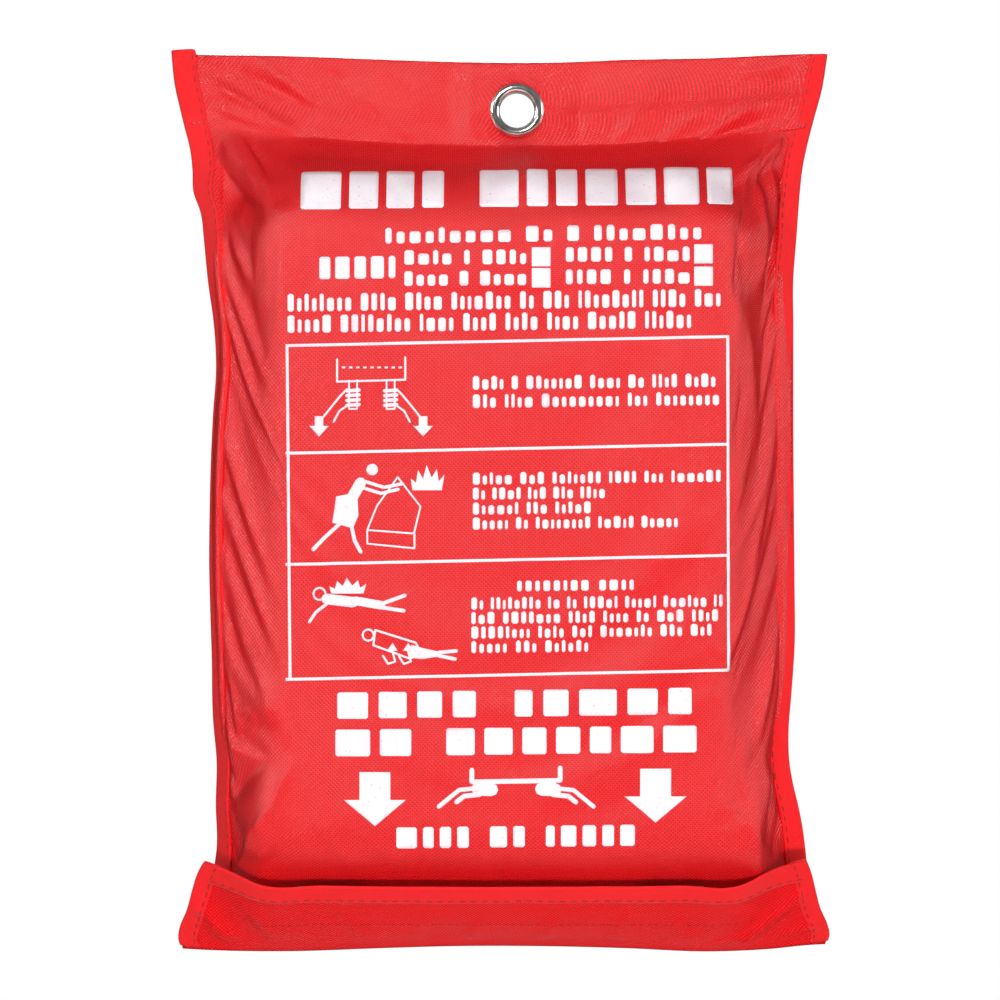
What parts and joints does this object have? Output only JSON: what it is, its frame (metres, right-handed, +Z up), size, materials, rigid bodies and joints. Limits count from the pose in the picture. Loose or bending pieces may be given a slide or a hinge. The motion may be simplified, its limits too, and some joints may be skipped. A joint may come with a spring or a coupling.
{
  "type": "fire blanket pouch",
  "caption": "Fire blanket folded in a soft hanging pouch, with an eyelet, a hook-and-loop flap over the mouth and release tapes that pull the blanket out.",
  "frame": {"origin": "centre of the eyelet's bore, midway through the header", "axes": "+Z up the pouch towards its top edge, -Y out of its front face, X across it"},
  "size_m": [0.2648, 0.0478, 0.3594],
  "materials": {
    "red_oxford_cloth": "satin",
    "red_binding_tape": "matte",
    "red_thread": "matte",
    "hook_and_loop": "matte",
    "nickel_plate": "polished",
    "glass_cloth": "matte",
    "white_thread": "matte",
    "black_webbing": "matte",
    "white_print": "satin"
  },
  "bodies": {
    "pouch": {"back_panel": "red_oxford_cloth", "front_panel": "red_oxford_cloth", "front_hem": "red_oxford_cloth", "header_band": "red_oxford_cloth", "header_stitching": "red_thread", "left_binding": "red_binding_tape", "right_binding": "red_binding_tape", "left_binding_stitching": "red_thread", "right_binding_stitching": "red_thread", "eyelet": "nickel_plate", "eyelet_washer": "nickel_plate", "loop_strip": "hook_and_loop", "loop_strip_stitching": "red_thread"},
    "flap": {"flap_panel": "red_oxford_cloth", "flap_top_binding": "red_binding_tape", "flap_left_binding": "red_binding_tape", "flap_right_binding": "red_binding_tape", "flap_top_binding_stitching": "red_thread", "flap_left_binding_stitching": "red_thread", "flap_right_binding_stitching": "red_thread", "hook_strip": "hook_and_loop", "hook_strip_stitching": "red_thread"},
    "blanket": {"folded_blanket": "glass_cloth", "blanket_pull_edge": "glass_cloth", "pull_edge_stitching": "white_thread", "left_tape_root": "black_webbing", "right_tape_root": "black_webbing", "left_tape_stitching": "white_thread", "right_tape_stitching": "white_thread"},
    "left_tape": {"left_tape_tail": "black_webbing"},
    "right_tape": {"right_tape_tail": "black_webbing"}
  },
  "joints": [
    {"name": "flap_open", "type": "hinge", "parent": "pouch", "child": "flap", "pos_m": [-0.0065, 0.0005, -0.337], "axis": [1, 0, 0], "range_deg": [0, 128]},
    {"name": "blanket_release", "type": "slide", "parent": "pouch", "child": "blanket", "axis": [0, 0, -1], "range_m": [0, 0.31], "deforming": ["flap_panel", "flap_top_binding", "flap_left_binding", "flap_right_binding", "flap_top_binding_stitching", "flap_left_binding_stitching", "flap_right_binding_stitching", "hook_strip", "hook_strip_stitching", "front_hem", "loop_strip", "loop_strip_stitching"]},
    {"name": "left_tape_drop", "type": "hinge", "parent": "blanket", "child": "left_tape", "pos_m": [-0.0745, -0.00395, -0.32997], "axis": [1, 0, 0], "range_deg": [0, 128]},
    {"name": "right_tape_drop", "type": "hinge", "parent": "blanket", "child": "right_tape", "pos_m": [0.0615, -0.00395, -0.32997], "axis": [1, 0, 0], "range_deg": [0, 128]}
  ],
  "couplings": [
    {"joint": "left_tape_drop", "follows": "flap_open", "ratio": 1},
    {"joint": "right_tape_drop", "follows": "flap_open", "ratio": 1}
  ]
}
